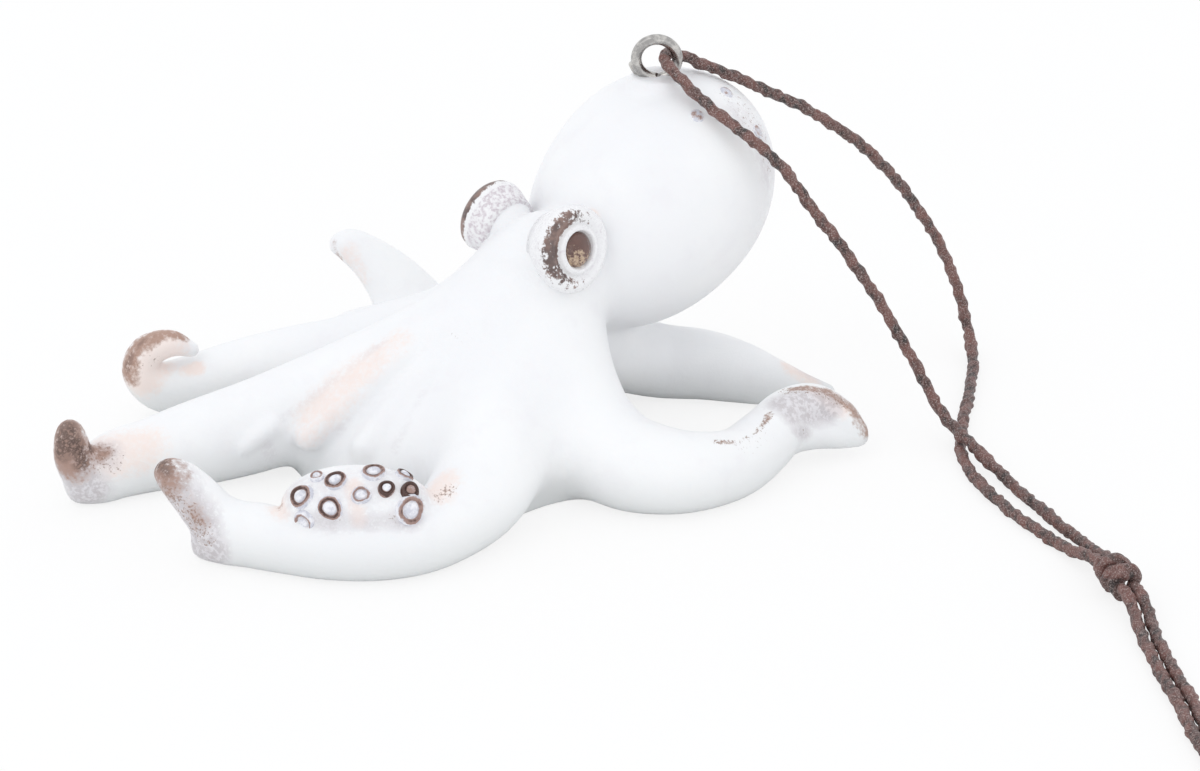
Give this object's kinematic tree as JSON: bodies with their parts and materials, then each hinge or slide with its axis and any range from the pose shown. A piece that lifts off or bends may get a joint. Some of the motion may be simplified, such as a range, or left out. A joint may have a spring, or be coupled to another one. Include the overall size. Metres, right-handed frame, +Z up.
{
  "type": "octopus figurine",
  "caption": "Resting cast octopus ornament on spread curling arms, with a wire eye in its mantle and a knotted hanging cord.",
  "frame": {"origin": "on the floor, under the middle of the casting's box, without the cord", "axes": "+Z up from the resting face, +X along the casting's length towards the two right-hand arms, +Y away from the side that the picture shows"},
  "size_m": [0.1388, 0.1191, 0.051],
  "materials": {
    "resin": "smooth satin casting, pearl white with a brown and orange wash",
    "dark_paint": "glossy dark brown paint",
    "brown_wash": "brown stain rubbed over the casting",
    "wire": "nickel plated wire",
    "cord": "waxed twisted cotton"
  },
  "bodies": {
    "root": {"head_and_web": "resin", "mantle": "resin", "mantle_spots": "brown_wash", "hanger_seat": "resin", "hanger_eye": "wire", "eye_lid_near": "brown_wash", "eye_lid_far": "brown_wash", "iris_near": "dark_paint", "iris_far": "dark_paint", "arm_right_front": "resin", "arm_right_back": "resin", "arm_back_right": "resin", "arm_back_left": "resin", "arm_left_back": "resin", "arm_left_curled": "resin", "arm_left_front": "resin", "arm_front": "resin", "sucker_pad": "resin", "suckers": "brown_wash", "cord_front_strand": "cord", "cord_back_strand": "cord", "cord_knot": "cord", "cord_right_tail": "cord", "cord_left_tail": "cord"}
  },
  "joints": []
}
